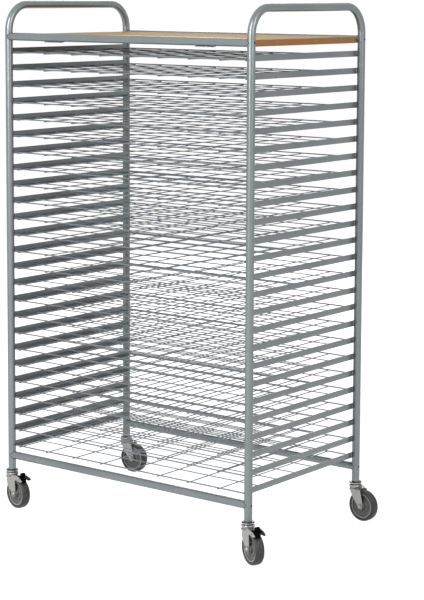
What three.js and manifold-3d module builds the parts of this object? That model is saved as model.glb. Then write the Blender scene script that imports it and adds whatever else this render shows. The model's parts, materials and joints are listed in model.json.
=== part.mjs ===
// Mobile art drying rack: two welded end frames joined by round rails, a wooden top,
// slide-in wire shelves on angle runners, and four swivel casters. Millimetres, +Z up.
import * as THREE from 'three';
import { mergeVertices } from 'three/addons/utils/BufferGeometryUtils.js';
import Module from 'manifold-3d';

const wasm = await Module();
wasm.setup();

// Running gap left between touching pieces, and how far a cutter runs past what it cuts.
const GAP = 0.3;
const CUT = 1;

// Round tube of the frame.
const TUBE_R = 12.5;
const TUBE_WALL = 1.5;
const TUBE_SIDES = 12;
const HOLE_SIDES = 8;
const HEX_SIDES = 6;

// Half the steps of a drawn arc.
const ARC_STEPS = 3;

// Corners closer than this are one corner.
const MERGE_DISTANCE = 1e-4;

// Post axes, end tube and rails, heights above the floor.
const POST_SPACING_X = 975;
const POST_SPACING_Y = 584;
const LEG_BOTTOM = 125;
const HANDLE_AXIS = 1656;
const BEND_R = 82;
const BEND_STEPS = 4;
const TOP_RAIL_AXIS = 1554;
const BOTTOM_RAIL_AXIS = 173;

// Equal angle runners welded between the posts, ledge turned inward.
const RUNNER_COUNT = 25;
const RUNNER_LOWEST = 202;
const RUNNER_HIGHEST = 1499;
const RUNNER_LEG = 19;
const RUNNER_T = 2.5;
const RUNNER_FACE_INSET = 8;
const RUNNER_WELD_DEPTH = 7.6;

// Wire shelves: seven long wires, two end wires and the middle cross wire.
const SHELF_HALF_X = 471;
const LONG_WIRE_COUNT = 7;
const LONG_WIRE_PITCH = 97;
const EDGE_WIRE = 4;
const INNER_WIRE = 3;
const MIDDLE_WIRE_X = 20;

// Wooden top between the rails, on four tabs welded under them.
const PANEL_T = 20;
const PANEL_EDGE_ROUND = 1.5;
const PANEL_CLEARANCE = 0.5;
const TAB_X = 305;
const TAB_WIDTH = 50;
const TAB_REACH = 45;
const TAB_OVERHANG = 6;
const TAB_T = 3;
const TAB_CORNER = 5;

// Casters: swivel axis on the post axis, wheel trailing behind it.
const WHEEL_R = 50;
const TYRE_HALF_WIDTH = 15;
const TYRE_SHOULDER = 5;
const TYRE_WALL_DISH = 1;
const RIM_R = 40;
const RIM_HALF_WIDTH = 12;
const RIM_LIP = 3;
const RIM_DRAFT = 1;
const WEB_HALF = 4;
const HUB_R = 12;
const HUB_HALF_WIDTH = 15.5;
const WHEEL_SIDES = 18;
const CORE_SIDES = 10;
const TRAIL = 33.5;
const AXLE_R = 4;
const AXLE_HEAD_R = 7;
const AXLE_HEAD_T = 4.5;
const PIN_R = 5;
const RIVET_R = 8;
const RIVET_T = 3.5;
const RACE_R = 20.5;
const RACE_T = 8.4;
const RACE_CHAMFER = 2;
const PLUG_R = 10.2;
const PLUG_LENGTH = 40;
const STEM_SIDES = 10;
const FORK_INNER = 16.5;
const FORK_PLATE_T = 2.5;
const FORK_TOP = 104.5;
const FORK_TOP_T = 3.5;
const FORK_FRONT = -9;
const FORK_BRIDGE_BACK = 24;
const FORK_EYE_R = 10;
const CROWN_R = 20.5;
const CROWN_TOP = 116;
const CROWN_CHAMFER = 3;

// Edges of the fork's side plates in the plane of the wheel, from the crown down the front to the axle eye
// and up the back: distance behind the swivel axis, height. The braked one has an arm out over the wheel.
const PLAIN_FORK = {
  front: [[FORK_FRONT, 93.5], [3, 71.5]],
  back: [[42, 62], [35.5, 91], [31, FORK_TOP]],
};
const BRAKED_FORK = {
  front: [[FORK_FRONT, 83.5], [-2.6, 69.7]],
  back: [
    [42, 60], [39.7, 83], [38.5, 90.5], [43.5, 97.5], [73.5, 91.5], [86.5, 102.5], [83, 106.5], [30, 113.5],
  ],
};

// Pierced lug that stands out behind the crown of the plain forks, in the plane of the wheel.
const LUG_ROOT = 16;
const LUG_CENTRE = [30, 109];
const LUG_R = 6.5;
const LUG_HOLE_R = 3.5;

// Toe brake in the same plane: release knob, toe plate and the shoe over the tread, with half their widths.
const PEDAL_FORMS = [
  { half: 6.5, outline: [[53, 106.5], [66, 106.5], [66, 119.5], [64, 121.5], [55, 121.5], [53, 119.5]] },
  { half: 9, outline: [[56, 106.5], [84, 107.5], [99.8, 105.8], [99.5, 108.8], [66, 114.5], [56, 112.5]] },
  { half: 7, outline: [[57.5, 109], [58.5, 95], [69.5, 90.5], [69, 109]] },
];
const PEDAL_PIVOT = [60, 102];
const PEDAL_PIN_R = 3;

// Where each caster points: the turn of its trailing direction from +X, in degrees.
const CASTERS = [
  { name: 'left_front', x: -1, y: -1, heading: -11, brake: true },
  { name: 'right_front', x: 1, y: -1, heading: -26, brake: true },
  { name: 'left_rear', x: -1, y: 1, heading: 5, brake: false },
  { name: 'right_rear', x: 1, y: 1, heading: -4, brake: false },
];

const HALF_X = POST_SPACING_X / 2;
const HALF_Y = POST_SPACING_Y / 2;

// Colour, roughness and metalness of each finish.
const FINISHES = {
  silver_coat: { color: 0xa9b0b3, roughness: 0.45, metalness: 0.55 },
  shelf_wire: { color: 0x9aa1a4, roughness: 0.4, metalness: 0.6 },
  wood: { color: 0xd9b27c, roughness: 0.55, metalness: 0 },
  zinc: { color: 0xc8c8c2, roughness: 0.35, metalness: 0.9 },
  hub_plastic: { color: 0x8c8f8e, roughness: 0.55, metalness: 0 },
  tyre_rubber: { color: 0x4a4c4d, roughness: 0.8, metalness: 0 },
  pedal_plastic: { color: 0x16181a, roughness: 0.5, metalness: 0 },
};

function piece(parent, name, geometry, finish) {
  const mesh = new THREE.Mesh(geometry, new THREE.MeshStandardMaterial(FINISHES[finish]));
  mesh.name = name;
  parent.add(mesh);
  return mesh;
}

// Closed mesh to solid and back, for joining and cutting.
function toSolid(geometry) {
  const bare = geometry.clone();
  bare.deleteAttribute('normal');
  bare.deleteAttribute('uv');
  const merged = mergeVertices(bare, MERGE_DISTANCE);
  return new wasm.Manifold(new wasm.Mesh({
    numProp: 3,
    vertProperties: new Float32Array(merged.attributes.position.array),
    triVerts: new Uint32Array(merged.index.array),
  }));
}

function toGeometry(solid) {
  const mesh = solid.getMesh();
  const geometry = new THREE.BufferGeometry();
  geometry.setAttribute('position', new THREE.BufferAttribute(mesh.vertProperties, 3));
  geometry.setIndex(new THREE.BufferAttribute(mesh.triVerts, 1));
  return geometry;
}

// Regular polygon with a corner on each axis.
function ring(radius, sides) {
  const points = [];
  for (let i = 0; i < sides; i += 1) {
    const angle = (i / sides) * 2 * Math.PI;
    points.push(new THREE.Vector2(radius * Math.cos(angle), radius * Math.sin(angle)));
  }
  return points;
}

function polygon(pairs) {
  return new THREE.Shape(pairs.map(([x, y]) => new THREE.Vector2(x, y)));
}

// Faceted hole round a circle of the given radius.
function hole([x, y], radius) {
  const corners = ring(radius / Math.cos(Math.PI / HOLE_SIDES), HOLE_SIDES);
  return new THREE.Path(corners.map((corner) => corner.add(new THREE.Vector2(x, y))));
}

// Prism of a shape drawn in X and Y, standing on z = 0.
function prism(shape, length) {
  return new THREE.ExtrudeGeometry(shape, { depth: length, bevelEnabled: false, curveSegments: ARC_STEPS });
}

// Prism of a shape drawn in X and Z, centred on y = 0.
function sideways(shape, length) {
  return prism(shape, length).rotateX(Math.PI / 2).translate(0, length / 2, 0);
}

// Round bar along X, centred on the origin.
function barAlongX(radius, length) {
  const geometry = prism(new THREE.Shape(ring(radius, TUBE_SIDES)), length);
  return geometry.rotateY(Math.PI / 2).translate(-length / 2, 0, 0);
}

// Path with a ring of the tube at each of its stations, each with its own direction.
class StationPath extends THREE.Curve {
  constructor(stations) {
    super();
    this.stations = stations;
  }

  station(u) {
    return this.stations[Math.round(u * (this.stations.length - 1))];
  }

  getPointAt(u, target = new THREE.Vector3()) {
    return target.copy(this.station(u).point);
  }

  getTangentAt(u, target = new THREE.Vector3()) {
    return target.copy(this.station(u).direction);
  }
}

// End tube: up the front leg, over the handle bow and down the rear leg.
function endTubePath(legBottom) {
  const stations = [];
  const add = (y, z, angle) => stations.push({
    point: new THREE.Vector3(0, y, z),
    direction: new THREE.Vector3(0, Math.sin(angle), Math.cos(angle)),
  });
  add(-HALF_Y, legBottom, 0);
  for (const [side, start] of [[-1, 0], [1, Math.PI / 2]]) {
    for (let i = 0; i <= BEND_STEPS; i += 1) {
      const angle = start + (i / BEND_STEPS) * (Math.PI / 2);
      const y = side * (HALF_Y - BEND_R) - BEND_R * Math.cos(angle);
      add(y, HANDLE_AXIS - BEND_R + BEND_R * Math.sin(angle), angle);
    }
  }
  add(HALF_Y, legBottom, Math.PI);
  return new StationPath(stations);
}

function endTube(radius, legBottom) {
  const extrudePath = endTubePath(legBottom);
  const steps = extrudePath.stations.length - 1;
  const section = new THREE.Shape(ring(radius, TUBE_SIDES));
  return toSolid(new THREE.ExtrudeGeometry(section, { steps, extrudePath }));
}

function runnerHeight(index) {
  const step = (RUNNER_HIGHEST - RUNNER_LOWEST) / (RUNNER_COUNT - 1);
  return RUNNER_HIGHEST - index * step;
}

// Angle runner of the right frame: upright leg outside, ledge reaching inward at its foot.
function runnerBar() {
  const outer = -RUNNER_FACE_INSET;
  const outline = polygon([
    [outer, 0],
    [outer, RUNNER_LEG],
    [outer - RUNNER_T, RUNNER_LEG],
    [outer - RUNNER_T, RUNNER_T],
    [outer - RUNNER_LEG, RUNNER_T],
    [outer - RUNNER_LEG, 0],
  ]);
  return sideways(outline, POST_SPACING_Y - 2 * RUNNER_WELD_DEPTH);
}

function endFrame() {
  const tube = endTube(TUBE_R, LEG_BOTTOM);
  const bore = endTube(TUBE_R - TUBE_WALL, LEG_BOTTOM - CUT);
  let frame = tube.subtract(bore);
  for (let i = 0; i < RUNNER_COUNT; i += 1) {
    frame = frame.add(toSolid(runnerBar().translate(0, 0, runnerHeight(i))));
  }
  return toGeometry(frame);
}

// Rail with both ends coped to sit on the round of the posts.
function rail() {
  let tube = toSolid(barAlongX(TUBE_R, POST_SPACING_X));
  tube = tube.subtract(toSolid(barAlongX(TUBE_R - TUBE_WALL, POST_SPACING_X + 2 * CUT)));
  for (const side of [-1, 1]) {
    const post = prism(new THREE.Shape(ring(TUBE_R + GAP, TUBE_SIDES)), 4 * TUBE_R);
    tube = tube.subtract(toSolid(post.translate(side * HALF_X, 0, -2 * TUBE_R)));
  }
  return toGeometry(tube);
}

// Flat grid of wires: the openings are cut out of a plate of the shelf's size.
function shelf() {
  const rowMiddle = (LONG_WIRE_COUNT - 1) / 2;
  const wireY = (row) => (row - rowMiddle) * LONG_WIRE_PITCH;
  const halfWire = (row) => (Math.abs(row - rowMiddle) === rowMiddle ? EDGE_WIRE : INNER_WIRE) / 2;
  const plate = (x0, x1, y0, y1) => prism(polygon([[x0, y0], [x1, y0], [x1, y1], [x0, y1]]), EDGE_WIRE);
  const halfY = wireY(LONG_WIRE_COUNT - 1) + EDGE_WIRE / 2;
  const bays = [
    [-SHELF_HALF_X + EDGE_WIRE, MIDDLE_WIRE_X - INNER_WIRE / 2],
    [MIDDLE_WIRE_X + INNER_WIRE / 2, SHELF_HALF_X - EDGE_WIRE],
  ];
  let grid = toSolid(plate(-SHELF_HALF_X, SHELF_HALF_X, -halfY, halfY));
  for (let row = 0; row < LONG_WIRE_COUNT - 1; row += 1) {
    const y0 = wireY(row) + halfWire(row);
    const y1 = wireY(row + 1) - halfWire(row + 1);
    for (const [x0, x1] of bays) {
      grid = grid.subtract(toSolid(plate(x0, x1, y0, y1)));
    }
  }
  return toGeometry(grid);
}

function topPanel() {
  const inset = PANEL_EDGE_ROUND;
  const x = HALF_X - TUBE_R - PANEL_CLEARANCE - inset;
  const y = HALF_Y - TUBE_R - PANEL_CLEARANCE - inset;
  return new THREE.ExtrudeGeometry(polygon([[-x, -y], [x, -y], [x, y], [-x, y]]), {
    depth: PANEL_T - 2 * inset,
    bevelThickness: inset,
    bevelSize: inset,
    bevelSegments: 1,
  }).translate(0, 0, inset);
}

// Tab under a rail: it carries the edge of the wooden top.
function panelTab() {
  const x = TAB_WIDTH / 2;
  const y0 = -TAB_OVERHANG;
  const y1 = TAB_REACH - TAB_OVERHANG;
  const c = TAB_CORNER;
  return prism(polygon([[-x, y0], [x, y0], [x, y1 - c], [x - c, y1], [c - x, y1], [-x, y1 - c]]), TAB_T);
}

// Revolved piece about the caster's swivel axis; the profile gives radius and height.
function turnedUpright(profile, sides) {
  const points = profile.map(([r, z]) => new THREE.Vector2(r, z));
  return new THREE.LatheGeometry(points, sides).rotateX(Math.PI / 2);
}

// Revolved piece about the wheel's axle, with a flat facing the floor.
function turnedOnAxle(profile, sides) {
  const points = profile.map(([r, v]) => new THREE.Vector2(r, v));
  return new THREE.LatheGeometry(points, sides, Math.PI / sides).translate(TRAIL, 0, WHEEL_R);
}

// Plug in the leg, ball race under it, and the king pin with its riveted head.
function casterStem() {
  const raceTop = LEG_BOTTOM - GAP;
  const raceBottom = raceTop - RACE_T;
  const rivetTop = FORK_TOP - FORK_TOP_T - GAP;
  return turnedUpright([
    [0, rivetTop - RIVET_T],
    [RIVET_R, rivetTop - RIVET_T],
    [RIVET_R, rivetTop],
    [PIN_R, rivetTop],
    [PIN_R, raceBottom],
    [RACE_R - RACE_CHAMFER, raceBottom],
    [RACE_R, raceBottom + RACE_CHAMFER],
    [RACE_R, raceTop - RACE_CHAMFER],
    [RACE_R - RACE_CHAMFER, raceTop],
    [PLUG_R, raceTop],
    [PLUG_R, raceTop + PLUG_LENGTH],
    [0, raceTop + PLUG_LENGTH],
  ], STEM_SIDES);
}

// Side plate of the fork, from the crown down to the axle eye.
function forkPlateOutline(brake) {
  const { front, back } = brake ? BRAKED_FORK : PLAIN_FORK;
  const outline = new THREE.Shape();
  outline.moveTo(FORK_FRONT, FORK_TOP);
  front.forEach(([x, z]) => outline.lineTo(x, z));
  outline.absarc(TRAIL, WHEEL_R, FORK_EYE_R, Math.PI, 2 * Math.PI, false);
  back.forEach(([x, z]) => outline.lineTo(x, z));
  outline.holes.push(hole([TRAIL, WHEEL_R], AXLE_R + GAP));
  if (brake) {
    outline.holes.push(hole(PEDAL_PIVOT, PEDAL_PIN_R + GAP));
  }
  return outline;
}

// Lug with a round end, rooted in the crown.
function forkLug() {
  const [x, z] = LUG_CENTRE;
  const outline = new THREE.Shape();
  outline.moveTo(LUG_ROOT, z - LUG_R);
  outline.absarc(x, z, LUG_R, -Math.PI / 2, Math.PI / 2, false);
  outline.lineTo(LUG_ROOT, z + LUG_R);
  outline.holes.push(hole(LUG_CENTRE, LUG_HOLE_R));
  return sideways(outline, FORK_PLATE_T);
}

function casterFork(brake) {
  const width = 2 * (FORK_INNER + FORK_PLATE_T);
  const top = FORK_TOP - FORK_TOP_T;
  const bridge = polygon([
    [FORK_FRONT, top],
    [FORK_BRIDGE_BACK, top],
    [FORK_BRIDGE_BACK, FORK_TOP],
    [FORK_FRONT, FORK_TOP],
  ]);
  let fork = toSolid(sideways(bridge, width));
  for (const side of [-1, 1]) {
    const plate = sideways(forkPlateOutline(brake), FORK_PLATE_T);
    fork = fork.add(toSolid(plate.translate(0, side * (FORK_INNER + FORK_PLATE_T / 2), 0)));
  }
  if (!brake) {
    fork = fork.add(toSolid(forkLug()));
  }
  const crown = turnedUpright([
    [0, top],
    [CROWN_R - CROWN_CHAMFER, top],
    [CROWN_R, FORK_TOP + CROWN_CHAMFER],
    [CROWN_R, CROWN_TOP - CROWN_CHAMFER],
    [CROWN_R - CROWN_CHAMFER, CROWN_TOP],
    [0, CROWN_TOP],
  ], STEM_SIDES);
  const pinHole = turnedUpright([
    [0, top - CUT],
    [PIN_R + GAP, top - CUT],
    [PIN_R + GAP, CROWN_TOP + CUT],
    [0, CROWN_TOP + CUT],
  ], STEM_SIDES);
  return toGeometry(fork.add(toSolid(crown)).subtract(toSolid(pinHole)));
}

// Axle bolt with its head and nut outside the fork plates.
function casterAxle() {
  const inner = FORK_INNER + FORK_PLATE_T + GAP;
  const outer = inner + AXLE_HEAD_T;
  return turnedOnAxle([
    [0, -outer],
    [AXLE_HEAD_R, -outer],
    [AXLE_HEAD_R, -inner],
    [AXLE_R, -inner],
    [AXLE_R, inner],
    [AXLE_HEAD_R, inner],
    [AXLE_HEAD_R, outer],
    [0, outer],
  ], HEX_SIDES);
}

// Wheel body: hub, thin web and rim.
function wheelCore() {
  const bore = AXLE_R + 2 * GAP;
  return turnedOnAxle([
    [bore, -HUB_HALF_WIDTH],
    [HUB_R, -HUB_HALF_WIDTH],
    [HUB_R, -WEB_HALF],
    [RIM_R - RIM_LIP - RIM_DRAFT, -WEB_HALF],
    [RIM_R - RIM_LIP, -RIM_HALF_WIDTH],
    [RIM_R, -RIM_HALF_WIDTH],
    [RIM_R, RIM_HALF_WIDTH],
    [RIM_R - RIM_LIP, RIM_HALF_WIDTH],
    [RIM_R - RIM_LIP - RIM_DRAFT, WEB_HALF],
    [HUB_R, WEB_HALF],
    [HUB_R, HUB_HALF_WIDTH],
    [bore, HUB_HALF_WIDTH],
    [bore, -HUB_HALF_WIDTH],
  ], CORE_SIDES);
}

function tyre() {
  const tread = WHEEL_R / Math.cos(Math.PI / WHEEL_SIDES);
  const seat = (RIM_R + GAP) / Math.cos(Math.PI / WHEEL_SIDES);
  const flat = TYRE_HALF_WIDTH - TYRE_SHOULDER;
  return turnedOnAxle([
    [seat, -TYRE_HALF_WIDTH + TYRE_WALL_DISH],
    [tread - TYRE_SHOULDER, -TYRE_HALF_WIDTH],
    [tread, -flat],
    [tread, flat],
    [tread - TYRE_SHOULDER, TYRE_HALF_WIDTH],
    [seat, TYRE_HALF_WIDTH - TYRE_WALL_DISH],
    [seat, -TYRE_HALF_WIDTH + TYRE_WALL_DISH],
  ], WHEEL_SIDES);
}

// Toe pedal: its forms fused with the pivot pin that runs between the fork's arms.
function brakePedal() {
  const pin = sideways(new THREE.Shape(ring(PEDAL_PIN_R, HOLE_SIDES)), 2 * (FORK_INNER + FORK_PLATE_T));
  let pedal = toSolid(pin.translate(PEDAL_PIVOT[0], 0, PEDAL_PIVOT[1]));
  for (const { half, outline } of PEDAL_FORMS) {
    pedal = pedal.add(toSolid(sideways(polygon(outline), 2 * half)));
  }
  return toGeometry(pedal);
}

function addEndFrames(rack) {
  const geometry = endFrame();
  for (const [name, x, turn] of [['end_frame_right', HALF_X, 0], ['end_frame_left', -HALF_X, Math.PI]]) {
    const frame = piece(rack, name, geometry, 'silver_coat');
    frame.position.x = x;
    frame.rotation.z = turn;
  }
}

function addRails(rack) {
  const geometry = rail();
  for (const [level, z] of [['top', TOP_RAIL_AXIS], ['bottom', BOTTOM_RAIL_AXIS]]) {
    for (const [place, side] of [['front', -1], ['rear', 1]]) {
      piece(rack, `${level}_rail_${place}`, geometry, 'silver_coat').position.set(0, side * HALF_Y, z);
    }
  }
}

function addTop(rack) {
  const underside = TOP_RAIL_AXIS - TUBE_R;
  piece(rack, 'top_panel', topPanel(), 'wood').position.z = underside;
  const geometry = panelTab();
  for (const [place, side] of [['front', -1], ['rear', 1]]) {
    for (const [hand, x] of [['left', -TAB_X], ['right', TAB_X]]) {
      const tab = piece(rack, `panel_tab_${hand}_${place}`, geometry, 'silver_coat');
      tab.position.set(x, side * HALF_Y, underside - GAP - TAB_T);
      tab.rotation.z = side < 0 ? 0 : Math.PI;
    }
  }
}

function addShelves(rack) {
  const geometry = shelf();
  for (let i = 0; i < RUNNER_COUNT; i += 1) {
    const name = `wire_shelf_${String(i + 1).padStart(2, '0')}`;
    piece(rack, name, geometry, 'shelf_wire').position.z = runnerHeight(i) + RUNNER_T + GAP;
  }
}

function addCasters(rack) {
  for (const { name, x, y, heading, brake } of CASTERS) {
    const caster = new THREE.Group();
    caster.position.set(x * HALF_X, y * HALF_Y, 0);
    caster.rotation.z = THREE.MathUtils.degToRad(heading);
    piece(caster, `caster_stem_${name}`, casterStem(), 'zinc');
    piece(caster, `caster_fork_${name}`, casterFork(brake), 'zinc');
    piece(caster, `caster_axle_${name}`, casterAxle(), 'zinc');
    piece(caster, `wheel_core_${name}`, wheelCore(), 'hub_plastic');
    piece(caster, `tyre_${name}`, tyre(), 'tyre_rubber');
    if (brake) {
      piece(caster, `brake_pedal_${name}`, brakePedal(), 'pedal_plastic');
    }
    rack.add(caster);
  }
}

const rack = new THREE.Group();
addEndFrames(rack);
addRails(rack);
addTop(rack);
addShelves(rack);
addCasters(rack);

// The origin lies on the floor under the middle of the whole footprint, casters included.
const middle = new THREE.Box3().setFromObject(rack, true).getCenter(new THREE.Vector3());
rack.position.set(-middle.x, -middle.y, 0);

export default rack;
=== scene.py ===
"""Looks of a mobile art drying rack: smooth tubes, wires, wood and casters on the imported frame."""
import json
import math

import bmesh
import bpy
from bpy.props import FloatProperty, FloatVectorProperty, IntProperty, PointerProperty
from mathutils import Matrix, Vector

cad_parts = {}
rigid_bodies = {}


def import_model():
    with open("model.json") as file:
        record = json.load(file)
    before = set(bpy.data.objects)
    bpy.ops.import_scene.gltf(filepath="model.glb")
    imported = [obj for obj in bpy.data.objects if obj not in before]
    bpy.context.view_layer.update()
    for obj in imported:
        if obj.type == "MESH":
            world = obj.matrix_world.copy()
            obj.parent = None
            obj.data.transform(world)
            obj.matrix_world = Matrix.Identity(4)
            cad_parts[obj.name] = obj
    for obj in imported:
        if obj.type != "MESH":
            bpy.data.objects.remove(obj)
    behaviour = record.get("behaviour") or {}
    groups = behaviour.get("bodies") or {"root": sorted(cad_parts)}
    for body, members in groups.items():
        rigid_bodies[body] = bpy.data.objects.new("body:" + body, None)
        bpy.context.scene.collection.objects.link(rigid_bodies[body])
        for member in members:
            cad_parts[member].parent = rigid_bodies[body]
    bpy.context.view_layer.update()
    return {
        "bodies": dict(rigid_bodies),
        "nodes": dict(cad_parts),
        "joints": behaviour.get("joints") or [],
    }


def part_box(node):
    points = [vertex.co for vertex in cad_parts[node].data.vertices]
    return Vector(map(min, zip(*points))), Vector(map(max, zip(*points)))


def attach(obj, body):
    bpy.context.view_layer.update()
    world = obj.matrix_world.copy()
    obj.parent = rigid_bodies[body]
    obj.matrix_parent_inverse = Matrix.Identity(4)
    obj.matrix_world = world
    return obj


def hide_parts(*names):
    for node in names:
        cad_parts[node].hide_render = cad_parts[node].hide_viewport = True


bl_info = {
    "name": "Art drying rack",
    "version": (1, 0, 0),
    "blender": (4, 5, 0),
    "location": "3D View > Sidebar > Drying rack",
    "description": "Dresses the packed frame of a mobile art drying rack",
    "category": "Object",
}

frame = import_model()
JOINTS = {joint["name"]: joint for joint in frame["joints"]}
HANDS = ("left", "right")
INWARD = {"left": 1, "right": -1}
PLACES = ("front", "rear")
RAILS = [(level, place) for level in ("top", "bottom") for place in PLACES]
CORNERS = [f"{hand}_{place}" for place in PLACES for hand in HANDS]
BRAKED = [corner for corner in CORNERS if f"pedal_{corner}" in frame["bodies"]]
SHELVES = sorted(name for name in frame["nodes"] if name.startswith("wire_shelf_"))
FRAME_BODY = "frame"

# Mesh quality.
FULL_TURN = 2 * math.pi
TINY = 1e-6
SMOOTH_ANGLE = math.radians(38)
SIDES = {"tube": 36, "bead": 8, "long wire": 12, "cross wire": 10, "race": 48, "wheel body": 64, "tyre": 72,
         "lug": 40, "axle": 20, "washer": 28, "nut": 6, "pin": 20, "rib": 8, "bolt": 24, "floor": 64}
BEND_STEPS = 14
BEAD_ROWS = 7
LEG_STEPS = 14
EYE_STEPS = 9
LIP_STEPS = 5
# Most of a side that a rounded corner may take up.
CORNER_SHARE = 0.45

# Runner welds: foot and head in runner legs; sinking and gap to the post in bead radii.
BEAD_SPAN = (0.08, 0.94)
BEAD_SINK = 0.3
BEAD_GAP = 2.3
# The seam gap puts the dark beads of painted shade right against the post.
SEAM_GAP = 0.2
# Runners end inside the posts, at this share of the way out to where their backs meet the posts.
RUNNER_SINK = 0.8
# Weld round the end of a rail, in bead radii.
RAIL_WELD = 0.7
# Corner and edge radius of the wooden top and of its tabs.
BOARD_ROUNDING = (0.002, 0.0015)
TAB_ROUNDING = (0.005, 0.0005)
# Thickness of a shelf's end wires in edge wires, and depth of the cross wires in their own radii.
END_WIRE_SHARE = 0.96
CROSS_DROP = 0.7

# Outlines of the toe brake seen from the side: distance behind the swivel axis, height above the floor.
KNOB_OUTLINE = [(0.053, 0.1065), (0.053, 0.1195), (0.055, 0.1215), (0.064, 0.1215), (0.066, 0.1195),
                (0.066, 0.1065)]
SHOE_OUTLINE = [(0.0575, 0.1090), (0.0690, 0.1090), (0.0695, 0.0905), (0.0585, 0.0950)]
HEEL_OUTLINE = [(0.038, 0.1045), (0.038, 0.1072), (0.046, 0.1096), (0.058, 0.1096), (0.060, 0.1045)]
ARM_OUTLINE = [(0.020, 0.1095), (0.030, 0.1135), (0.067, 0.1072), (0.0785, 0.1010), (0.0765, 0.0965),
               (0.066, 0.0940), (0.0435, 0.0975), (0.0385, 0.0905), (0.020, 0.0905)]
# Corner radius of the arms, and how far they stand out from the fork legs.
ARM_CORNER = 0.003
ARM_GAP = 0.0004
# Slabs of the toe pedal: outline, half width and corner radius.
PEDAL_SLABS = [(KNOB_OUTLINE, 0.0065, 0.0015), (HEEL_OUTLINE, 0.0130, 0.0015), (SHOE_OUTLINE, 0.0070, 0.0012)]
# Edge radius of the slabs; place and half length of the pivot pin.
PEDAL_EDGE = 0.0006
PEDAL_PIVOT = (0.060, 0.102)
PIN_REACH = 0.0195
# Stations along the toe plate: distance behind the swivel axis, height, half thickness and half width.
TOE_STATIONS = [(0.060, 0.1050, 0.0030, 0.0070), (0.070, 0.1058, 0.0020, 0.0080),
                (0.080, 0.1066, 0.0013, 0.0070), (0.091, 0.1078, 0.0010, 0.0046),
                (0.102, 0.1096, 0.0008, 0.0026), (0.110, 0.1114, 0.0006, 0.0012)]
# Corner radius of the toe plate in half thicknesses; its grip ribs, their radius and share of its width.
TOE_CORNER = 0.8
RIBBED_STATIONS = TOE_STATIONS[2:5]
RIB_RADIUS = 0.0008
RIB_SHARE = 0.85

# Top of the pressed fork, and where its legs start under it.
FORK_TOP = 0.1045
LEG_TOP = 0.1025
# Edges of the fork legs: height above the floor and distance behind the swivel axis, braked and plain.
LEG_FRONT = {True: [(FORK_TOP, -0.0090), (0.0835, -0.0082), (0.0697, -0.0026), (0.050, 0.0235)],
             False: [(FORK_TOP, -0.0095), (0.0936, -0.0094), (0.0715, 0.0030), (0.050, 0.0235)]}
LEG_BACK = {True: [(FORK_TOP, 0.0390), (0.0830, 0.0397), (0.0600, 0.0420), (0.050, 0.0435)],
            False: [(FORK_TOP, 0.0310), (0.0910, 0.0355), (0.0620, 0.0420), (0.050, 0.0435)]}
# Turned-in lip of a leg's front edge: depth at its foot in sheets, what it gains, and between which heights.
LIP_FOOT = 1.05
LIP_GAIN = 0.006
LIP_HEIGHTS = (0.058, 0.094)
# Radius of the lip's bend; the most that the bend takes of the lip, and the lip's sheet of the leg's width.
LIP_BEND = 0.005
LIP_BEND_SHARE = 0.95
LIP_SHEET_SHARE = 0.4
# Saddle between the legs: foot, corner radius, reach along the wheel and stand-off from the legs.
SADDLE_FOOT = 0.098
SADDLE_CORNER = 0.006
SADDLE_REACH = (-0.0102, 0.026)
SADDLE_SKIN = 0.00015
# Middle of the plain forks' lug, how far forward it reaches into the crown, and its broken edge.
LUG_CENTRE = (0.030, 0.109)
LUG_ROOT = 0.014
LUG_EDGE = 0.0003
# Lower and upper edge of the race's bright band, a painted reflection on the chrome.
RACE_SHEEN_BAND = (0.1186, 0.1216)
# Where the rim's pale lip, a painted highlight, begins and where it is full, in from the rim's edge.
RIM_LIP_HIGHLIGHT = (0.0042, 0.0034)
# Corner radii of turned steel and of the moulded wheel, and edge radius of pressed sheet.
TURNED_EASE = 0.0008
WHEEL_EASE = 0.0012
PRESSED_EDGE = 0.0004
# Washer, and bolt head or nut: radius and distance out from the fork's face.
WASHER = [(0.0083, 0.0), (0.0087, 0.0004), (0.0083, 0.0012)]
NUT = [(0.0070, 0.0012), (0.0072, 0.0020), (0.0072, 0.0042), (0.0062, 0.0052)]
# Axle bolt: gap between fork and washer, how far the thread's end stands out, and its chamfer.
AXLE_GAP = 0.0002
AXLE_END = 0.007
AXLE_CHAMFER = 0.0008

# Bolt heads: angles of the dome's rings, then its height and its socket in head radii.
DOME_TURNS = [math.radians(turn) for turn in (0, 25, 50, 70)]
DOME_RISE = 0.55
SOCKET = [(0.30, 0.50), (0.26, 0.22)]
# How deep the bolt heads sit in the posts and the screw heads in the tabs.
BOLT_SINK = 0.0006
SCREW_SINK = 0.0004
# Screws under the wooden top: distance from the ends and from the inner edge of a tab.
SCREW_INSET = (0.008, 0.010)

# Tones that lie over every coat or mark: pits, cloudiness, dirt film and scratches.
PIT_TONE = (0.05, 0.055, 0.06, 1.0)
CLOUD_TONE = (0.80, 0.83, 0.85, 1.0)
FILM_TONE = (0.30, 0.29, 0.27, 1.0)
SCRATCH_TONE = (0.75, 0.75, 0.74, 1.0)
WHITE = (1.0, 1.0, 1.0, 1.0)
# Strength and depth of the relief of coats, marks of use and wood pores.
COAT_BUMP = (0.18, 0.0004)
MARK_BUMP = (0.12, 0.0003)
PORE_BUMP = (0.10, 0.0003)
# Dark steel with the marks of use.
RACE_MARKS = {"metallic": 1.0, "roughness": 0.14, "film": 0.05, "scratches": 0.2, "size": 80.0}

# Tall soft lamps: where they stand, their width and height, and the spot that they face.
LAMP_PLACES = {"key": (0.15, -5.10, 3.25), "side": (5.00, -1.00, 3.20), "back": (-3.2, 4.4, 2.4)}
LAMP_SIZE = (1.5, 3.8)
LAMP_TARGET = (0, 0, 0.85)
# Floor radius; the camera's sensor in millimetres and how far it sees.
FLOOR_RADIUS = 30.0
SENSOR_SIDE = 36.0
VIEW_END = 100.0


def length(name, default, description):
    """A size in metres that shows in Blender's own units."""
    return FloatProperty(name=name, description=description, default=default, min=0, unit="LENGTH",
                         precision=4)


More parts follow.
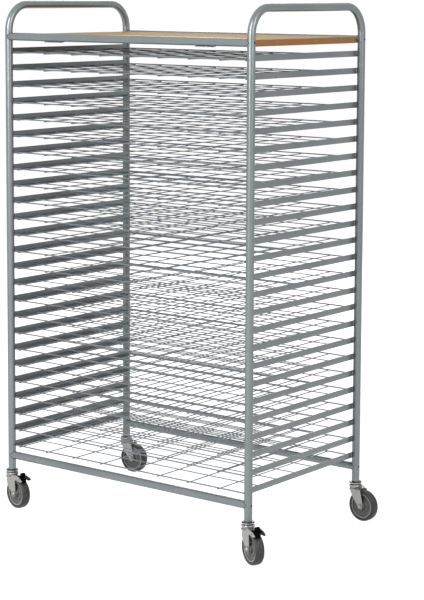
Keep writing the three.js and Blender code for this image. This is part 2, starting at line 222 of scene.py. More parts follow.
def degrees(name, default, description):
    """An angle, given in degrees."""
    return FloatProperty(name=name, description=description, default=math.radians(default),
                         subtype="ANGLE")


def watts(name, default, description):
    """Power of a lamp."""
    return FloatProperty(name=name, description=description, default=default, min=0, unit="POWER")


def colour(name, default, description):
    """A linear colour without alpha."""
    return FloatVectorProperty(name=name, description=description, default=default, subtype="COLOR",
                               size=3, min=0, max=1)


class FrameSizes(bpy.types.PropertyGroup):
    """Sizes of the welded frame."""
    tube: length("Tube radius", 0.0125, "Radius of the round frame tube")
    wall: length("Tube wall", 0.0015, "Wall of the round frame tube")
    bend: length("Bend radius", 0.082, "Radius of the handle bends on the tube's axis")
    angle: length("Runner leg", 0.019, "Leg of the angle runners")
    sheet: length("Runner sheet", 0.0025, "Thickness of the angle runners")
    inset: length("Runner inset", 0.008, "From the post's axis in to the runner's outer face")
    lowest: length("Lowest runner", 0.202, "Height of the lowest runner's foot")
    highest: length("Highest runner", 1.499, "Height of the highest runner's foot")
    bead: length("Weld bead", 0.0019, "Radius of the weld beads at the runner ends")
    bolt: length("Bolt head", 0.0040, "Radius of the domed bolt heads on the posts")


class ShelfSizes(bpy.types.PropertyGroup):
    """Sizes of the wire shelves."""
    edge_wire: length("Edge wire", 0.0021, "Radius of the wires round the shelf's edge")
    inner_wire: length("Inner wire", 0.0016, "Radius of the inner and cross wires")
    long_wires: IntProperty(name="Long wires", description="Wires that run the length of the shelf",
                            default=7, min=2)
    cross_pitch: length("Cross wire pitch", 0.1175, "Spacing of the cross wires")
    cross_offset: length("Cross wire offset", 0.0205, "From the shelf's middle to the middle cross wire")
    cross_wires: IntProperty(name="Cross wires", description="Wires across the shelf, under the long ones",
                             default=8, min=1)
    overhang: length("Wire overhang", 0.0035, "How far the cross wires stand out past the edge wires")


class CasterSizes(bpy.types.PropertyGroup):
    """Sizes of the swivel casters."""
    wheel: length("Wheel radius", 0.05, "Radius over the tyre")
    tyre: length("Tyre half width", 0.015, "Half the width of the tyre")
    rim: length("Rim radius", 0.0400, "Radius of the rim under the tyre")
    hub: length("Hub radius", 0.012, "Radius of the hub boss")
    hub_half: length("Hub half width", 0.0155, "Half the length of the hub boss")
    trail: length("Trail", 0.0335, "From the swivel axis back to the axle")
    fork_half: length("Fork half width", 0.019, "From the wheel's middle to the outside of a fork leg")
    plate: length("Fork plate", 0.0025, "Thickness of the pressed fork")
    race: length("Race radius", 0.0205, "Radius of the ball race")
    eye: length("Axle eye", 0.010, "Radius of the fork leg's round end")
    axle: length("Axle radius", 0.004, "Radius of the axle bolt")
    lug: length("Lug radius", 0.0065, "Radius of the round end of the plain forks' lug")
    lug_hole: length("Lug hole", 0.0035, "Radius of the hole in the lug")


class Finishes(bpy.types.PropertyGroup):
    """Colours of the finishes, linear."""
    coat: colour("Silver coat", (0.225, 0.250, 0.254), "Powder coat of the frame")
    fleck: colour("Coat fleck", (0.42, 0.46, 0.465), "Bright flecks in the powder coat")
    # The seam colour is painted shade: the dark of the crease where the welds meet the posts.
    seam: colour("Seam", (0.085, 0.095, 0.098), "Coat in the corner of a weld, darkened as painted shade")
    wire: colour("Shelf wire", (0.215, 0.240, 0.265), "Plated wire of the shelves")
    wood_pale: colour("Pale wood", (0.70, 0.455, 0.20), "Wood between the grain lines")
    wood_grain: colour("Wood grain", (0.57, 0.350, 0.140), "Grain lines of the wood")
    wood_end: colour("End grain", (0.56, 0.236, 0.118), "Ends of the wooden top")
    zinc: colour("Zinc", (0.33, 0.33, 0.32), "Zinc plate of the casters")
    race: colour("Race steel", (0.040, 0.040, 0.039), "Dark steel of races, bolts and nuts")
    # The race band colour is a painted reflection on the chrome race.
    band: colour("Race band", (0.50, 0.50, 0.49), "Painted bright band of the race, a painted reflection")
    hub: colour("Hub plastic", (0.115, 0.115, 0.112), "Moulded wheel body")
    # The rim lip colour is a painted highlight on the wheel body's rim.
    rim_lip_highlight: colour("Rim lip", (0.40, 0.40, 0.39), "Painted highlight on the lip of the wheel body's rim")
    rubber: colour("Tyre rubber", (0.028, 0.028, 0.027), "Grey tyre")
    pedal: colour("Pedal plastic", (0.0020, 0.0020, 0.0020), "Black toe pedal")
    floor: colour("Floor", (0.45, 0.45, 0.45), "Plain pale floor")


class StageSettings(bpy.types.PropertyGroup):
    """Camera and light."""
    eye: FloatVectorProperty(name="Camera place", description="Where the camera stands", size=3,
                             default=(3.6689, -4.6215, 1.7100), subtype="TRANSLATION", unit="LENGTH")
    heading: degrees("Heading", 37.73, "Turn of the view to the left of +Y")
    tilt: degrees("Tilt", 6.36, "How far the view looks down")
    roll: degrees("Roll", 0.258, "Turn of the camera about its view")
    lens: FloatProperty(name="Lens", description="Focal length on a 36 mm long side", default=111.01,
                        subtype="DISTANCE_CAMERA")
    rise: FloatProperty(name="Shift", description="Vertical shift in long sides", default=-0.175)
    floor_lift: FloatProperty(name="Floor lift", default=0.94, min=0,
                              description="Brightness added to the floor as seen by the camera")
    ambient: FloatProperty(name="Ambient", description="Strength of the even light", default=0.10, min=0)
    key: watts("Key", 300, "Power of the soft light in front")
    side: watts("Side", 100, "Power of the soft light on the right")
    back: watts("Back", 80, "Power of the soft light behind the rack")


class RackSettings(bpy.types.PropertyGroup):
    """Everything a user would change."""
    frame: PointerProperty(type=FrameSizes)
    shelf: PointerProperty(type=ShelfSizes)
    caster: PointerProperty(type=CasterSizes)
    finish: PointerProperty(type=Finishes)
    stage: PointerProperty(type=StageSettings)


def settings():
    """The rack's settings in this scene."""
    return bpy.context.scene.drying_rack


# Mesh building

def circle(matrix, radius, sides):
    """Points of a circle about the matrix's Z axis."""
    turns = [FULL_TURN * i / sides for i in range(sides)]
    return [matrix @ Vector((radius * math.cos(a), radius * math.sin(a), 0)) for a in turns]


def loft(bm, rings, closed=False):
    """Skin over rings of points: closed on itself, or with a flat face at each end."""
    rows = [[bm.verts.new(point) for point in ring] for ring in rings]
    pairs = list(zip(rows, rows[1:]))
    if closed:
        pairs.append((rows[-1], rows[0]))
    for low, high in pairs:
        for i in range(len(low)):
            j = (i + 1) % len(low)
            bm.faces.new((low[i], low[j], high[j], high[i]))
    if not closed:
        bm.faces.new(list(reversed(rows[0])))
        bm.faces.new(rows[-1])


def along(start, end):
    """Matrix at start whose Z axis points to end."""
    direction = Vector(end) - Vector(start)
    return Matrix.Translation(start) @ direction.to_track_quat("Z", "Y").to_matrix().to_4x4()


def rod(bm, start, end, radius, sides):
    """Round bar with lightly broken ends."""
    matrix = along(start, end)
    reach = (Vector(end) - Vector(start)).length
    chamfer = radius * 0.25
    steps = [(0, radius - chamfer), (chamfer, radius), (reach - chamfer, radius), (reach, radius - chamfer)]
    loft(bm, [circle(matrix @ Matrix.Translation((0, 0, h)), r, sides) for h, r in steps])


def turned(bm, profile, sides, matrix=Matrix(), closed=False):
    """Piece turned about the matrix's Z axis from pairs of radius and height."""
    loft(bm, [circle(matrix @ Matrix.Translation((0, 0, h)), r, sides) for r, h in profile], closed)


def eased(points, radius, steps=4):
    """Closed outline with round corners, by one radius or one for each; 0 leaves a corner sharp."""
    radii = radius if isinstance(radius, list) else [radius] * len(points)
    out = []
    for i, (point, ease) in enumerate(zip(points, radii)):
        corner = Vector(point)
        if not ease:
            out.append(corner)
            continue
        before = Vector(points[i - 1]) - corner
        after = Vector(points[(i + 1) % len(points)]) - corner
        start = corner + before.normalized() * min(ease, before.length * CORNER_SHARE)
        end = corner + after.normalized() * min(ease, after.length * CORNER_SHARE)
        for k in range(steps + 1):
            u = k / steps
            out.append(start * (1 - u) ** 2 + corner * 2 * u * (1 - u) + end * u * u)
    return out


def inset(points, depth):
    """Outline moved in by depth; the points run anticlockwise."""
    out = []
    for i, point in enumerate(points):
        edge = points[(i + 1) % len(points)] - points[i - 1]
        out.append(point + Vector((-edge.y, edge.x)).normalized() * depth)
    return out


def anticlockwise(points):
    """The outline, turned round if it runs clockwise."""
    area = sum(points[i - 1].x * p.y - p.x * points[i - 1].y for i, p in enumerate(points))
    return points if area > 0 else points[::-1]


def plate(bm, matrix, outline, thickness, edge):
    """Slab of an outline in the matrix's XY plane, from its Z origin up, with rounded edges."""
    outline = anticlockwise(outline)
    mid = edge * 0.3
    rings = []
    for z, depth in ((0, edge), (mid, mid), (edge, 0), (thickness - edge, 0), (thickness - mid, mid),
                     (thickness, edge)):
        rings.append([matrix @ Vector((p.x, p.y, z)) for p in inset(outline, depth)])
    loft(bm, rings)


def bead(bm, start, end, radius):
    """Short weld bead, thickest in its middle and blunt at its ends."""
    matrix = along(start, end)
    step = (Vector(end) - Vector(start)).length / (BEAD_ROWS - 1)
    blunt = 0.4
    rings = []
    for i in range(BEAD_ROWS):
        swell = math.sin(math.pi * (i + blunt) / (BEAD_ROWS - 1 + 2 * blunt))
        rings.append(circle(matrix @ Matrix.Translation((0, 0, step * i)), radius * swell, SIDES["bead"]))
    loft(bm, rings)


def to_mesh(name, bm):
    """Finished mesh: smooth skins, sharp edges and flat many-sided ends."""
    bmesh.ops.recalc_face_normals(bm, faces=bm.faces)
    mesh = bpy.data.meshes.new(name)
    bm.to_mesh(mesh)
    bm.free()
    mesh.shade_smooth()
    mesh.set_sharp_from_angle(angle=SMOOTH_ANGLE)
    for face in mesh.polygons:
        face.use_smooth = len(face.vertices) <= 4
    return mesh


def place(name, mesh, material, body, slot, nodes=(), matrix=Matrix()):
    """Puts a piece in the scene on its body, in the stead of the frame's nodes."""
    piece = bpy.data.objects.new(name, mesh)
    bpy.context.scene.collection.objects.link(piece)
    piece.matrix_world = matrix
    if material.name not in mesh.materials:
        mesh.materials.append(material)
    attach(piece, body)
    if nodes:
        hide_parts(*nodes)
    return piece


# Materials

class Sketch:
    """Adds nodes to a tree, with values and links given by socket name."""

    def __init__(self, tree):
        self.tree = tree

    def add(self, kind, inputs=None, **fields):
        node = self.tree.nodes.new(kind)
        for field, value in fields.items():
            setattr(node, field, value)
        for socket, value in (inputs or {}).items():
            if isinstance(value, bpy.types.NodeSocket):
                self.tree.links.new(value, node.inputs[socket])
            else:
                node.inputs[socket].default_value = value
        return node

    def maths(self, operation, a, b=0.0):
        return self.add("ShaderNodeMath", {0: a, 1: b}, operation=operation).outputs[0]

    def mix(self, factor, a, b, blend="MIX"):
        node = self.add("ShaderNodeMix", {0: factor, 6: a, 7: b}, data_type="RGBA", blend_type=blend)
        return node.outputs[2]

    def ramp(self, factor, low, high):
        node = self.add("ShaderNodeMapRange", {0: factor, 1: low, 2: high}, clamp=True)
        return node.outputs[0]

    def stretch(self, vector, scale, turn=(0.0, 0.0, 0.0)):
        """Coordinates turned and drawn out, so that a noise on them runs in lines."""
        node = self.add("ShaderNodeMapping", {"Vector": vector, "Rotation": turn, "Scale": scale})
        return node.outputs[0]

    def noise(self, vector, scale, detail=2.0, roughness=0.5):
        node = self.add("ShaderNodeTexNoise", {"Vector": vector, "Scale": scale, "Detail": detail,
                                               "Roughness": roughness})
        return node.outputs["Fac"]


def rgba(value):
    """A colour with full alpha."""
    return (*value, 1.0)


def shader_group(name, colours, values):
    """New node group from colours and values to a finish; returns its sketch and its inner input sockets."""
    tree = bpy.data.node_groups.new(name, "ShaderNodeTree")
    sockets = tree.interface
    sockets.new_socket("Vector", in_out="INPUT", socket_type="NodeSocketVector")
    for label in colours:
        sockets.new_socket(label, in_out="INPUT", socket_type="NodeSocketColor")
    for label, default in values.items():
        sockets.new_socket(label, in_out="INPUT", socket_type="NodeSocketFloat").default_value = default
    sockets.new_socket("Color", in_out="OUTPUT", socket_type="NodeSocketColor")
    for label in ("Height", "Roughness"):
        sockets.new_socket(label, in_out="OUTPUT", socket_type="NodeSocketFloat")
    sketch = Sketch(tree)
    return sketch, sketch.add("NodeGroupInput").outputs


def speckle_group():
    """Fine flecks and orange-peel of a metallic powder coat."""
    name = "Coat speckle"
    if name in bpy.data.node_groups:
        return bpy.data.node_groups[name]
    sketch, inner = shader_group(name, ["Base", "Fleck"], {"Grain": 900.0, "Amount": 0.4})
    fine = sketch.noise(inner["Vector"], inner["Grain"], 1.0)
    flecks = sketch.ramp(fine, 0.52, 0.74)
    pits = sketch.ramp(fine, 0.46, 0.28)
    drift = sketch.noise(inner["Vector"], 6.0, 3.0)
    light = sketch.mix(sketch.maths("MULTIPLY", flecks, inner["Amount"]), inner["Base"], inner["Fleck"])
    pitted = sketch.mix(sketch.maths("MULTIPLY", pits, 0.22), light, PIT_TONE)
    cloudy = sketch.mix(sketch.ramp(drift, 0.35, 0.8), pitted, CLOUD_TONE, "MULTIPLY")
    peel = sketch.noise(inner["Vector"], sketch.maths("MULTIPLY", inner["Grain"], 0.45), 2.0)
    rough = sketch.maths("ADD", sketch.maths("MULTIPLY", drift, 0.16), 0.18)
    sketch.add("NodeGroupOutput", {"Color": cloudy, "Height": peel, "Roughness": rough})
    return sketch.tree


def handling_group():
    """Soft dirt film and short scratches of a thing in daily use."""
    name = "Handling marks"
    if name in bpy.data.node_groups:
        return bpy.data.node_groups[name]
    sketch, inner = shader_group(name, ["Color"], {"Film": 0.25, "Scratches": 0.3, "Size": 40.0})
    cloud = sketch.ramp(sketch.noise(inner["Vector"], inner["Size"], 5.0, 0.62), 0.42, 0.72)
    slanted = sketch.stretch(inner["Vector"], (900.0, 70.0, 260.0), (0.4, 0.9, 0.3))
    lines = sketch.ramp(sketch.noise(slanted, 1.0, 1.0), 0.66, 0.74)
    filmed = sketch.mix(sketch.maths("MULTIPLY", cloud, inner["Film"]), inner["Color"], FILM_TONE)
    scratch = sketch.maths("MULTIPLY", lines, inner["Scratches"])
    scratched = sketch.mix(scratch, filmed, SCRATCH_TONE, "SOFT_LIGHT")
    rough = sketch.maths("ADD", sketch.maths("MULTIPLY", cloud, 0.2), sketch.maths("MULTIPLY", scratch, 0.2))
    height = sketch.maths("SUBTRACT", sketch.maths("MULTIPLY", cloud, 0.2), scratch)
    sketch.add("NodeGroupOutput", {"Color": scratched, "Height": height, "Roughness": rough})
    return sketch.tree


def start_material(name):
    """Empty material: its sketch, principled shader and object coordinates."""
    material = bpy.data.materials.new(name)
    material.use_nodes = True
    tree = material.node_tree
    sketch = Sketch(tree)
    return material, sketch, tree.nodes["Principled BSDF"], sketch.add("ShaderNodeTexCoord").outputs["Object"]


def connect(sketch, shader, color, roughness, height, strength, distance):
    """Feeds the shader's colour and roughness, and its normal through a bump."""
    sketch.tree.links.new(color, shader.inputs["Base Color"])
    sketch.tree.links.new(roughness, shader.inputs["Roughness"])
    bump = sketch.add("ShaderNodeBump", {"Height": height, "Strength": strength, "Distance": distance})
    sketch.tree.links.new(bump.outputs[0], shader.inputs["Normal"])


def finished(name, marks, values, dulling, bump, metallic, shine):
    """Finish from a node group fed with values; dulling adds to its roughness, shine is the specular."""
    if name in bpy.data.materials:
        return bpy.data.materials[name]
    material, sketch, shader, where = start_material(name)
    out = sketch.add("ShaderNodeGroup", {"Vector": where, **values}, node_tree=marks).outputs
    rough = sketch.maths("ADD", out["Roughness"], dulling)
    connect(sketch, shader, out["Color"], rough, out["Height"], *bump)
    shader.inputs["Metallic"].default_value = metallic
    shader.inputs["Specular IOR Level"].default_value = shine
    return material


def coated(name, base, fleck, grain, amount, metallic, dulling, shine):
    """Speckled coat over metal."""
    values = {"Base": rgba(base), "Fleck": rgba(fleck), "Grain": grain, "Amount": amount}
    return finished(name, speckle_group(), values, dulling, COAT_BUMP, metallic, shine)


def marked(name, base, metallic, roughness, film, scratches, size, shine=0.5):
    """Plain finish with the marks of use."""
    values = {"Color": rgba(base), "Film": film, "Scratches": scratches, "Size": size}
    return finished(name, handling_group(), values, roughness, MARK_BUMP, metallic, shine)


def silver_coat():
    """Flecked powder coat of the frame."""
    finish = settings().finish
    return coated("silver coat", finish.coat, finish.fleck, grain=1100.0, amount=0.25, metallic=0.55,
                  dulling=0.04, shine=0.5)


def seam_shade_coat():
    """Dark coat in the corners of the welds: painted shade of the crease at each joint."""
    finish = settings().finish
    return coated("seam coat", finish.seam, finish.coat, grain=1100.0, amount=0.15, metallic=0.0,
                  dulling=0.05, shine=0.3)


def wire_plate():
    """Satin plate of the shelf wires."""
    finish = settings().finish
    return coated("plated wire", finish.wire, finish.fleck, grain=700.0, amount=0.10, metallic=0.60,
                  dulling=0.14, shine=0.5)


def zinc_plate():
    """Zinc plate of forks and axles."""
    return marked("zinc plate", settings().finish.zinc, metallic=0.75, roughness=0.30, film=0.15,
                  scratches=0.35, size=60.0)


def race_steel():
    """Dark steel of bolts and screws."""
    return marked("race steel", settings().finish.race, **RACE_MARKS)


def tint(material, mask_of, paint):
    """Lays a colour over a finish where mask_of, given the sketch and object coordinates, is 1."""
    sketch, shader = Sketch(material.node_tree), material.node_tree.nodes["Principled BSDF"]
    mask = mask_of(sketch, sketch.add("ShaderNodeTexCoord").outputs["Object"])
    plain = shader.inputs["Base Color"].links[0].from_socket
    sketch.tree.links.new(sketch.mix(mask, plain, rgba(paint)), shader.inputs["Base Color"])


def race_painted_sheen():
    """Dark race steel with a bright band under its lip, painted as a reflection."""
    name = "banded race"
    if name in bpy.data.materials:
        return bpy.data.materials[name]
    finish = settings().finish
    material = marked(name, finish.race, **RACE_MARKS)

    def band(sketch, where):
        height = sketch.add("ShaderNodeSeparateXYZ", {0: where}).outputs[2]
        below = sketch.maths("LESS_THAN", height, RACE_SHEEN_BAND[1])
        return sketch.maths("MULTIPLY", below, sketch.maths("GREATER_THAN", height, RACE_SHEEN_BAND[0]))

    # The band paints a bright reflection onto the dark steel.
    tint(material, band, finish.band)
    return material


def hub_plastic():
    """Moulded wheel body with the lip of its rim painted pale as a highlight."""
    name = "hub plastic"
    if name in bpy.data.materials:
        return bpy.data.materials[name]
    finish, sizes = settings().finish, settings().caster

    def lip(sketch, where):
        from_axle = sketch.add("ShaderNodeVectorMath", {0: where, 1: (sizes.trail, 0.0, sizes.wheel)},
                               operation="SUBTRACT").outputs[0]
        flat = sketch.add("ShaderNodeVectorMath", {0: from_axle, 1: (1.0, 0.0, 1.0)},
                          operation="MULTIPLY").outputs[0]
        radius = sketch.add("ShaderNodeVectorMath", {0: flat}, operation="LENGTH").outputs["Value"]
        return sketch.ramp(radius, *(sizes.rim - depth for depth in RIM_LIP_HIGHLIGHT))

    material = marked(name, finish.hub, metallic=0.0, roughness=0.42, film=0.15, scratches=0.2, size=60.0)
    # Paints a highlight on the lip of the rim.
    tint(material, lip, finish.rim_lip_highlight)
    return material


def tyre_rubber():
    """Matte rubber of the tyres."""
    return marked("tyre rubber", settings().finish.rubber, metallic=0.0, roughness=0.48, film=0.12,
                  scratches=0.1, size=35.0, shine=0.4)


def pedal_plastic():
    """Black moulding of the toe pedals."""
    return marked("pedal plastic", settings().finish.pedal, metallic=0.0, roughness=0.50, film=0.01,
                  scratches=0.05, size=60.0, shine=0.03)


def wood():
    """Lacquered board: grain along X, with darker end grain on the ends."""
    name = "lacquered wood"
    if name in bpy.data.materials:
        return bpy.data.materials[name]
    finish = settings().finish
    material, sketch, shader, where = start_material(name)
    figure = sketch.noise(sketch.stretch(where, (1.3, 30.0, 30.0)), 1.0, 5.0, 0.65)
    rings = sketch.add("ShaderNodeTexWave", {
        "Vector": sketch.stretch(where, (0.9, 6.0, 6.0)), "Scale": 0.7, "Distortion": 14.0, "Detail": 3.0,
        "Detail Scale": 0.6,
    }, bands_direction="Y").outputs["Fac"]
    pores = sketch.noise(sketch.stretch(where, (14.0, 520.0, 520.0)), 1.0, 2.0)
    lines = sketch.maths("ADD", sketch.maths("MULTIPLY", figure, 0.80), sketch.maths("MULTIPLY", rings, 0.16))
    board = sketch.mix(sketch.ramp(lines, 0.32, 0.68), rgba(finish.wood_pale), rgba(finish.wood_grain))
    pored = sketch.maths("MULTIPLY", sketch.ramp(pores, 0.56, 0.75), 0.35)
    face = sketch.mix(pored, board, rgba(finish.wood_end))
    normal = sketch.add("ShaderNodeTexCoord").outputs["Normal"]
    sideways = sketch.maths("ABSOLUTE", sketch.add("ShaderNodeSeparateXYZ", {0: normal}).outputs[0])
    plies = sketch.noise(sketch.stretch(where, (300.0, 60.0, 420.0)), 1.0, 3.0)
    end = sketch.mix(sketch.ramp(plies, 0.35, 0.7), rgba(finish.wood_end), rgba(finish.wood_grain))
    color = sketch.mix(sketch.ramp(sideways, 0.35, 0.75), face, end)
    rough = sketch.maths("ADD", sketch.maths("MULTIPLY", pores, 0.16), 0.48)
    connect(sketch, shader, color, rough, pores, *PORE_BUMP)
    # Nearly matte: seen this flat, more shine would turn the board white.
    shader.inputs["Specular IOR Level"].default_value = 0.004
    return material


# Frame

def post_grid():
    """X of the left and right post axes and Y of the front and rear ones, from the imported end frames."""
    tube = settings().frame.tube
    left, right = (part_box(f"end_frame_{hand}") for hand in HANDS)
    xs = {"left": left[0].x + tube, "right": right[1].x - tube}
    ys = {"front": left[0].y + tube, "rear": left[1].y - tube}
    return xs, ys


def end_tube(x, ys, foot, top, bend, radius):
    """Rings of the bent tube, up the front leg, over the handle and down the rear leg."""
    stations = [(ys["front"], foot, 0.0)]
    for centre_y, start in ((ys["front"] + bend, 0.0), (ys["rear"] - bend, math.pi / 2)):
        for i in range(BEND_STEPS + 1):
            turn = start + math.pi / 2 * i / BEND_STEPS
            stations.append((centre_y - bend * math.cos(turn), top - bend + bend * math.sin(turn), turn))
    stations.append((ys["rear"], foot, math.pi))
    return [circle(Matrix.Translation((x, y, z)) @ Matrix.Rotation(-turn, 4, "X"), radius, SIDES["tube"])
            for y, z, turn in stations]


def runner_section(sizes):
    """Angle of the right-hand runners: upright leg outside, ledge reaching in at its foot."""
    out, leg, sheet = -sizes.inset, sizes.angle, sizes.sheet
    corner, fillet = sheet * 0.35, sheet * 0.8
    points = [(out, 0), (out, leg), (out - sheet, leg), (out - sheet, sheet), (out - leg, sheet),
              (out - leg, 0)]
    return eased(points, [fillet, corner, corner, fillet, corner, corner], 3)


def runner_feet():
    """Heights of the runners' feet from the top down, one pair of runners to each packed shelf."""
    sizes = settings().frame
    step = (sizes.highest - sizes.lowest) / (len(SHELVES) - 1)
    return [sizes.highest - i * step for i in range(len(SHELVES))]


def weld_reach(sizes):
    """Distance from a post's axis to where the back of a runner meets the post."""
    return math.sqrt(sizes.tube ** 2 - sizes.inset ** 2)


def runner_beads(bm, x, inward, ys, sizes, gap):
    """Weld beads up the back of every runner, at a gap from the posts at its ends."""
    rise = Vector((0, 0, sizes.angle))
    away = weld_reach(sizes) + gap * sizes.bead
    for foot in runner_feet():
        for y in (ys["front"] + away, ys["rear"] - away):
            spot = Vector((x + inward * (sizes.inset - sizes.bead * BEAD_SINK), y, foot))
            low, high = (spot + rise * share for share in BEAD_SPAN)
            bead(bm, low, high, sizes.bead)


def runners(x, inward, ys, sizes):
    """All the runners of one end, with the thick of their welds."""
    bm = bmesh.new()
    sunk = weld_reach(sizes) * RUNNER_SINK
    for foot in runner_feet():
        loft(bm, [[Vector((x - inward * p.x, y, foot + p.y)) for p in runner_section(sizes)]
                  for y in (ys["front"] + sunk, ys["rear"] - sunk)])
    runner_beads(bm, x, inward, ys, sizes, BEAD_GAP)
    return to_mesh("runners", bm)


def runner_shade_seams(x, inward, ys, sizes):
    """The dark line between each runner's weld and the post: beads in a dark coat, painted shade of the
    crease.
    """
    bm = bmesh.new()
    runner_beads(bm, x, inward, ys, sizes, SEAM_GAP)
    return to_mesh("runner seams", bm)


class RACK_OT_end_frames(bpy.types.Operator):
    """Bent end tubes with their welded angle runners"""
    bl_idname = "rack.end_frames"
    bl_label = "End frames"

    def execute(self, context):
        sizes = settings().frame
        xs, ys = post_grid()
        for hand, inward in INWARD.items():
            node = f"end_frame_{hand}"
            low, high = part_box(node)
            bm = bmesh.new()
            outer, inner = (end_tube(xs[hand], ys, low.z, high.z - sizes.tube, sizes.bend, radius)
                            for radius in (sizes.tube, sizes.tube - sizes.wall))
            loft(bm, outer + inner[::-1], closed=True)
            place(f"end_tube_{hand}", to_mesh("end tube", bm), silver_coat(), FRAME_BODY, "silver_coat",
                  [node])
            place(f"runners_{hand}", runners(xs[hand], inward, ys, sizes), silver_coat(), FRAME_BODY,
                  "silver_coat", [node])
            # These dark beads paint the shade in the crease between weld and post.
            place(f"runner_seams_{hand}", runner_shade_seams(xs[hand], inward, ys, sizes), seam_shade_coat(), FRAME_BODY,
                  "silver_coat")
        return {"FINISHED"}


def coped_end(spot, inward, radius, tube, grow=0.0, back=0.0):
    """Ring cut to fit a post whose axis is at spot, moved off the rail's end by grow and back."""
    swell = 1 + grow / radius
    ring = []
    for i in range(SIDES["tube"]):
        turn = FULL_TURN * i / SIDES["tube"]
        sideways, rise = radius * math.cos(turn), radius * math.sin(turn)
        saddle = math.sqrt(max(tube ** 2 - sideways ** 2, 0))
        ring.append(spot + Vector((inward * (saddle + back), sideways * swell, rise * swell)))
    return ring


def rail_weld(bm, spot, inward, sizes):
    """Bead round the end of a rail."""
    radius = sizes.bead * RAIL_WELD
    turns = [FULL_TURN * i / SIDES["bead"] for i in range(SIDES["bead"])]
    loft(bm, [coped_end(spot, inward, sizes.tube, sizes.tube, radius * math.cos(a), radius * math.sin(a))
              for a in turns], closed=True)


class RACK_OT_rails(bpy.types.Operator):
    """Round rails with ends coped and welded to the posts"""
    bl_idname = "rack.rails"
    bl_label = "Rails"

    def execute(self, context):
        sizes = settings().frame
        xs, ys = post_grid()
        for level, position in RAILS:
            node = f"{level}_rail_{position}"
            low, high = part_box(node)
            spots = [(Vector((xs[hand], ys[position], (low.z + high.z) / 2)), INWARD[hand]) for hand in HANDS]
            bm = bmesh.new()
            outer, inner = ([coped_end(*spot, radius, sizes.tube) for spot in spots]
                            for radius in (sizes.tube, sizes.tube - sizes.wall))
            loft(bm, outer + inner[::-1], closed=True)
            place(f"{level}_tube_{position}", to_mesh("rail", bm), silver_coat(), FRAME_BODY, "silver_coat",
                  [node])
            bm = bmesh.new()
            for spot in spots:
                rail_weld(bm, *spot, sizes)
            # The rail welds wear the dark seam coat: painted shade round each coped joint.
            place(f"{level}_weld_{position}", to_mesh("weld", bm), seam_shade_coat(), FRAME_BODY, "silver_coat")
        return {"FINISHED"}


class RACK_OT_wooden_top(bpy.types.Operator):
    """Lacquered board between the top rails, on four tabs"""
    bl_idname = "rack.wooden_top"
    bl_label = "Wooden top"

    def execute(self, context):
        for node, material, slot, (rounding, edge) in self.slabs():
            low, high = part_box(node)
            outline = eased([(low.x, low.y), (high.x, low.y), (high.x, high.y), (low.x, high.y)], rounding)
            bm = bmesh.new()
            plate(bm, Matrix.Translation((0, 0, low.z)), outline, high.z - low.z, edge)
            place(node.replace("panel", "board"), to_mesh(node, bm), material, FRAME_BODY, slot, [node])
        return {"FINISHED"}

    def slabs(self):
        """Node, material, slot, and corner and edge radius of each slab."""
        yield "top_panel", wood(), "wood", BOARD_ROUNDING
        for corner in CORNERS:
            yield f"panel_tab_{corner}", silver_coat(), "silver_coat", TAB_ROUNDING


# Shelves

def shelf_mesh(low, high):
    """Welded grid in the box of a packed shelf, centred on it in X and Y, with z = 0 at its foot."""
    sizes = settings().shelf
    edge, inner = sizes.edge_wire, sizes.inner_wire
    half_x, half_y = (high.x - low.x) / 2 - edge, (high.y - low.y) / 2 - edge
    bm = bmesh.new()
    for i in range(sizes.long_wires):
        y = half_y * (2 * i / (sizes.long_wires - 1) - 1)
        outside = i in (0, sizes.long_wires - 1)
        radius = edge if outside else inner
        reach = half_x + edge if outside else half_x
        rod(bm, (-reach, y, radius), (reach, y, radius), radius, SIDES["long wire"])
    for side in (-1, 1):
        rod(bm, (side * half_x, -half_y, edge), (side * half_x, half_y, edge), edge * END_WIRE_SHARE,
            SIDES["long wire"])
    for i in range(sizes.cross_wires):
        x = sizes.cross_offset + (i - sizes.cross_wires // 2) * sizes.cross_pitch
        reach, z = half_y + edge + sizes.overhang, -inner * CROSS_DROP
        rod(bm, (x, -reach, z), (x, reach, z), inner, SIDES["cross wire"])
    return to_mesh("wire shelf", bm)


class RACK_OT_wire_shelves(bpy.types.Operator):
    """Welded wire shelves, one to each pair of runners"""
    bl_idname = "rack.wire_shelves"
    bl_label = "Wire shelves"

    def execute(self, context):
        mesh = shelf_mesh(*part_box(SHELVES[0]))
        for node in SHELVES:
            low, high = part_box(node)
            middle = (low + high) / 2
            number = node.rsplit("_", 1)[1]
            place(f"shelf_grid_{number}", mesh, wire_plate(), f"shelf_{number}", "shelf_wire", [node],
                  Matrix.Translation((middle.x, middle.y, low.z)))
        return {"FINISHED"}


# Casters

def caster_matrix(corner):
    """Place of a caster: origin on the floor under the swivel axis, X trailing, Y along the axle."""
    foot = JOINTS[f"swivel_{corner}_turn"]["pos_m"]
    axle = JOINTS[f"wheel_{corner}_spin"]["axis"]
    turn = math.atan2(-axle[0], axle[1])
    return Matrix.Translation((foot[0], foot[1], 0)) @ Matrix.Rotation(turn, 4, "Z")


def axle_matrix():
    """From a turned piece's own axis to the axle of a caster."""
    sizes = settings().caster
    return Matrix.Translation((sizes.trail, 0, sizes.wheel)) @ Matrix.Rotation(-math.pi / 2, 4, "X")


def mirrored(profile):
    """Closed profile from its half above the middle: pairs of radius and height."""
    return profile + [(r, -h) for r, h in reversed(profile)]


def smooth_profile(points, radius):
    """Closed profile with round corners, as pairs of radius and height."""
    return [(p.x, p.y) for p in eased(points, radius, 3)]


def turned_mesh(name, points, ease, sides, matrix=Matrix()):
    """Mesh of one turned piece from a closed profile with round corners."""
    bm = bmesh.new()
    turned(bm, smooth_profile(points, ease), SIDES[sides], matrix, closed=True)
    return to_mesh(name, bm)


